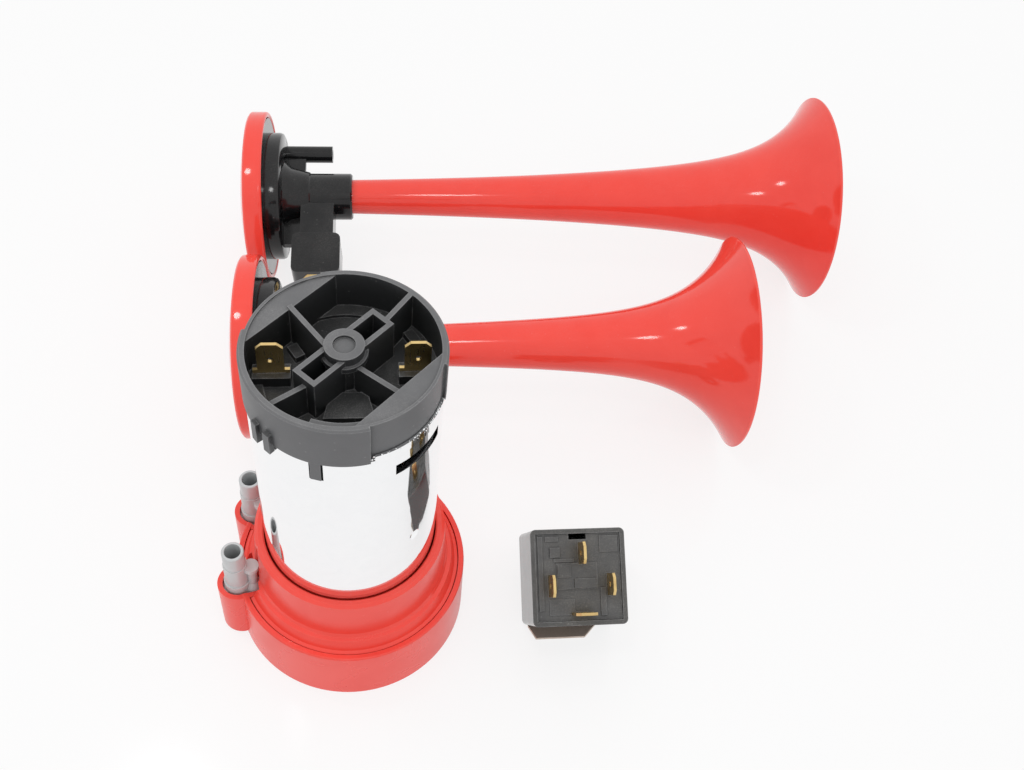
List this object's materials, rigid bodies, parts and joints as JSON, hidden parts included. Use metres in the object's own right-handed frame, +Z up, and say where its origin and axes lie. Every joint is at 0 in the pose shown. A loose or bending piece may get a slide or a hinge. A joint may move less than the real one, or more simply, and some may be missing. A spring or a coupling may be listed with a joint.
{
  "type": "car air horn",
  "caption": "Car air horn: an upright motor-driven compressor with air spigots, a long and a short flared trumpet on diaphragm heads, and a plug-in relay.",
  "frame": {"origin": "middle of the compressor's underside, on the surface that everything stands on", "axes": "+Z up along the compressor, +X along both trumpets from their heads to their bells, +Y from the compressor towards the trumpets"},
  "size_m": [0.2144, 0.2097, 0.1199],
  "materials": {
    "chrome_can": "mirror",
    "cap_black": "fine spark-eroded texture",
    "terminal_brass": "bright",
    "magnet_ferrite": "dull",
    "lamination_steel": "satin",
    "winding_copper": "enamelled wire",
    "commutator_copper": "turned",
    "shaft_steel": "ground",
    "bush_bronze": "sintered",
    "holder_brass": "satin",
    "brush_carbon": "dull",
    "spring_steel": "bright",
    "base_red": "gloss",
    "cover_red": "gloss",
    "pump_alloy": "machined",
    "plate_steel": "ground",
    "vane_carbon": "dull",
    "screw_steel": "zinc plated",
    "insert_brass": "satin",
    "nozzle_grey": "satin",
    "trumpet_red": "gloss",
    "head_black": "gloss",
    "head_red": "gloss",
    "diaphragm_steel": "bright",
    "gasket_rubber": "dull",
    "relay_black": "satin",
    "relay_base_black": "satin",
    "relay_brass": "tarnished",
    "coil_copper": "enamelled wire",
    "yoke_steel": "plated"
  },
  "bodies": {
    "horn_set": {"motor_can": "chrome_can", "end_cap": "cap_black", "terminal_positive": "terminal_brass", "terminal_negative": "terminal_brass", "magnet_left": "magnet_ferrite", "magnet_right": "magnet_ferrite", "upper_bush": "bush_bronze", "lower_bush": "bush_bronze", "brush_holder_left": "holder_brass", "brush_holder_right": "holder_brass", "brush_left": "brush_carbon", "brush_right": "brush_carbon", "brush_spring_left": "spring_steel", "brush_spring_right": "spring_steel", "pump_base": "base_red", "pump_cover": "cover_red", "pump_ring": "pump_alloy", "pump_lower_plate": "plate_steel", "pump_upper_plate": "plate_steel", "base_screws": "screw_steel", "motor_screws": "screw_steel", "mounting_insert": "insert_brass", "long_foot_nut": "insert_brass", "short_foot_nut": "insert_brass", "outlet_nozzle": "nozzle_grey", "inlet_nozzle": "nozzle_grey", "long_trumpet": "trumpet_red", "short_trumpet": "trumpet_red", "long_head_body": "head_black", "short_head_body": "head_black", "long_head_cover": "head_red", "short_head_cover": "head_red", "long_diaphragm": "diaphragm_steel", "short_diaphragm": "diaphragm_steel", "long_gasket": "gasket_rubber", "short_gasket": "gasket_rubber", "relay_cover": "relay_black", "relay_base": "relay_base_black", "relay_blade_coil_left": "relay_brass", "relay_blade_coil_right": "relay_brass", "relay_blade_output": "relay_brass", "relay_blade_supply": "relay_brass", "relay_coil": "coil_copper", "relay_yoke": "yoke_steel"},
    "rotor": {"armature_core": "lamination_steel", "armature_winding": "winding_copper", "commutator": "commutator_copper", "motor_shaft": "shaft_steel", "pump_rotor": "pump_alloy", "pump_vanes": "vane_carbon"},
    "relay_armature": {"relay_armature": "yoke_steel"}
  },
  "joints": [
    {"name": "rotor_spin", "type": "hinge", "parent": "horn_set", "child": "rotor", "pos_m": [0, 0, 0.06], "axis": [0, 0, 1], "continuous": true},
    {"name": "relay_pull_in", "type": "hinge", "parent": "horn_set", "child": "relay_armature", "pos_m": [0.0659, 0.0027, 0.01326], "axis": [-1, 0, 0], "range_deg": [0, 3]}
  ]
}
